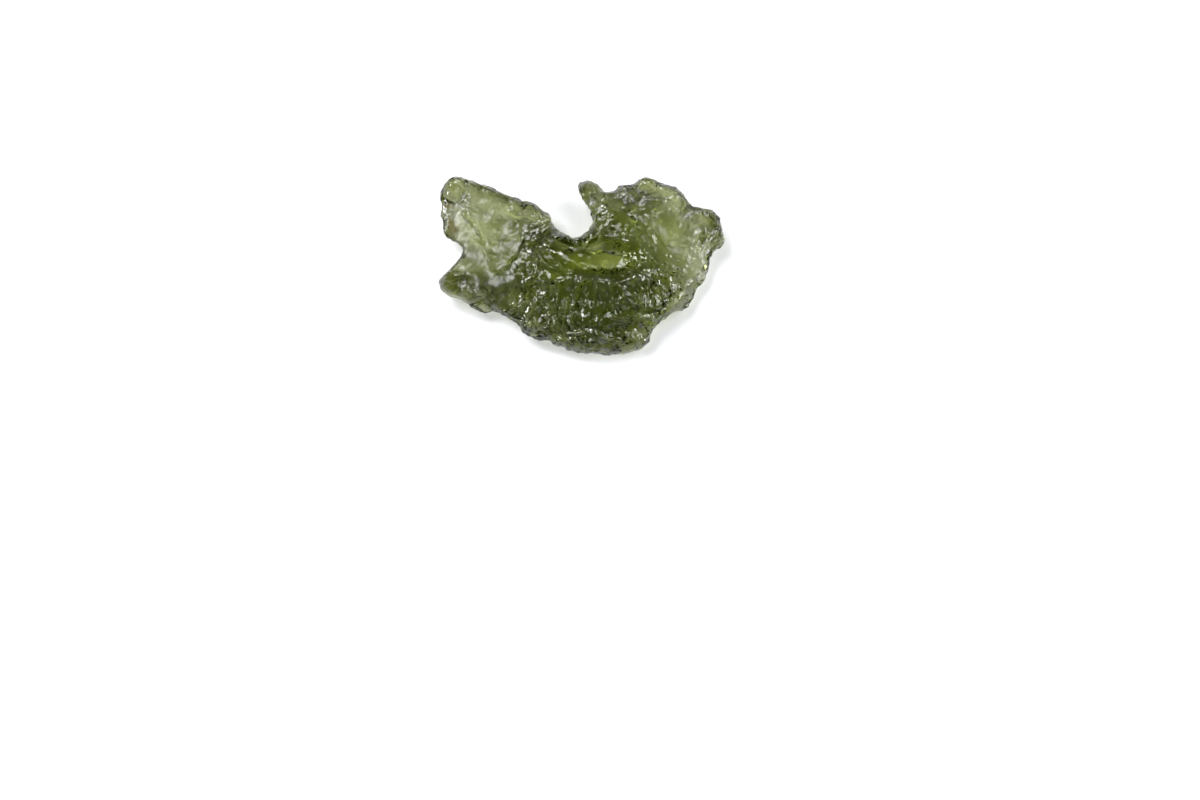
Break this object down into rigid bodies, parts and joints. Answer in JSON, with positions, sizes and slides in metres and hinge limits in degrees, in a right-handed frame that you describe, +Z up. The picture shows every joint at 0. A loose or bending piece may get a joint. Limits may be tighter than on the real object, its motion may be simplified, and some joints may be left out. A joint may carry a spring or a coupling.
{
  "type": "moldavite",
  "caption": "Natural moldavite: a flake of clear olive-green glass with a deep bay in one edge, a thick fluted body and thin pitted wings.",
  "frame": {"origin": "middle of the stone's footprint, on the surface that it rests on", "axes": "+X along the stone, from the wing with the small bay to the broad pitted wing; +Y across it, towards the deep bay; +Z up"},
  "size_m": [0.032, 0.0202, 0.0065],
  "materials": {
    "moldavite_glass": "etched natural surface, glossy, translucent olive green"
  },
  "bodies": {
    "root": {"moldavite": "moldavite_glass"}
  },
  "joints": []
}
